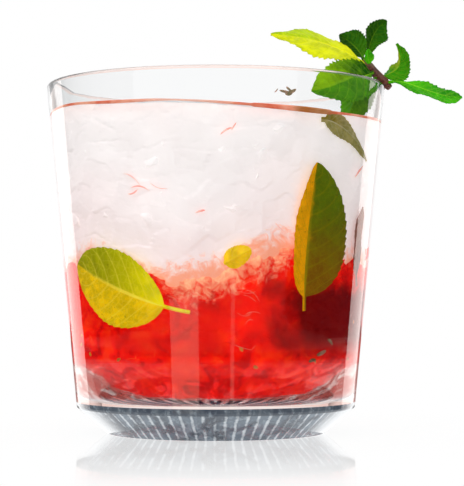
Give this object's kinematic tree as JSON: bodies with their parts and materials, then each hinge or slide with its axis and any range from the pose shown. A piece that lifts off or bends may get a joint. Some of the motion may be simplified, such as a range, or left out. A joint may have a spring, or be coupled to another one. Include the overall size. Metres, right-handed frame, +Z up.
{
  "type": "mojito cocktail",
  "caption": "Iced mojito with muddled red fruit and mint, in a tapered clear tumbler with a thick star-cut base and a mint sprig over the rim.",
  "frame": {"origin": "centre of the foot's flat underside, where the tumbler stands", "axes": "+Z up along the tumbler's axis; +X towards the mint sprig on the rim; -Y towards the side with the sunk mint leaves"},
  "size_m": [0.1079, 0.0878, 0.1081],
  "materials": {
    "glass": "clear polished",
    "drink": "crushed ice in a clear drink, pinkish white",
    "fruit": "wet muddled berries",
    "mint_stem": "fine ridged",
    "pale_leaf": "soft leaf",
    "dark_leaf": "soft leaf",
    "green_leaf": "soft leaf"
  },
  "bodies": {
    "root": {"tumbler": "glass", "drink": "drink", "muddled_fruit": "fruit", "mint_stem": "mint_stem", "mint_leaf_pale": "pale_leaf", "mint_leaf_dark": "dark_leaf", "mint_leaf_top": "dark_leaf", "mint_bud": "green_leaf", "mint_leaf_curled": "green_leaf", "mint_leaf_long": "green_leaf", "mint_leaf_broad": "green_leaf", "mint_leaf_dipping": "dark_leaf"}
  },
  "joints": []
}
